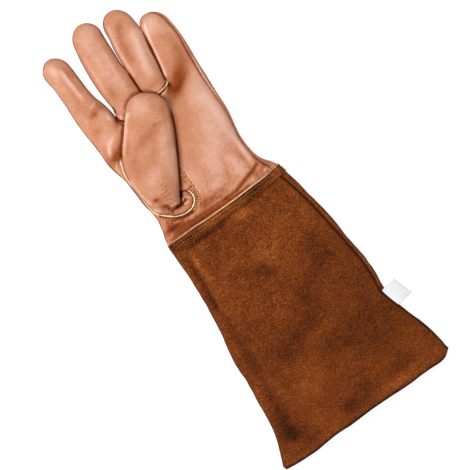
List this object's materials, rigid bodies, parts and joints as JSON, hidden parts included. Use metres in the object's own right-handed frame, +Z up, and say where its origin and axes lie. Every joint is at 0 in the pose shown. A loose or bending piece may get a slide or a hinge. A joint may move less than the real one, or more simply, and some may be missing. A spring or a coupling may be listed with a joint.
{
  "type": "leather gardening glove",
  "caption": "Long-cuffed gardening glove for the left hand: smooth leather hand, thumb folded over the palm, wide suede gauntlet with its mouth open.",
  "frame": {"origin": "middle of the outline seen from above, on the surface that the glove lies on", "axes": "+Y along the glove from the cuff to the fingertips, +X to the little finger's side, +Z up out of the palm"},
  "size_m": [0.173, 0.417, 0.0368],
  "materials": {
    "tan_leather": "smooth grain leather, satin, pinkish tan, paler where it stretches over the fingers and thumb and darker in its creases",
    "brown_suede": "split suede, matt, red brown, napped and mottled",
    "cream_trim": "cream leather piping and sewing thread, satin",
    "white_label": "woven white tape, matt, blank"
  },
  "bodies": {
    "root": {"palm_panel": "tan_leather", "middle_finger_front": "tan_leather", "ring_finger_front": "tan_leather", "back_panel": "tan_leather", "thumb_front": "tan_leather", "thumb_back": "tan_leather", "thumb_welt": "cream_trim", "finger_base_welt": "cream_trim", "index_side_welt": "tan_leather", "little_side_welt": "tan_leather", "wrist_welt": "cream_trim", "cuff_band": "brown_suede", "cuff_front": "brown_suede", "cuff_back": "brown_suede", "cuff_tag": "white_label"}
  },
  "joints": []
}
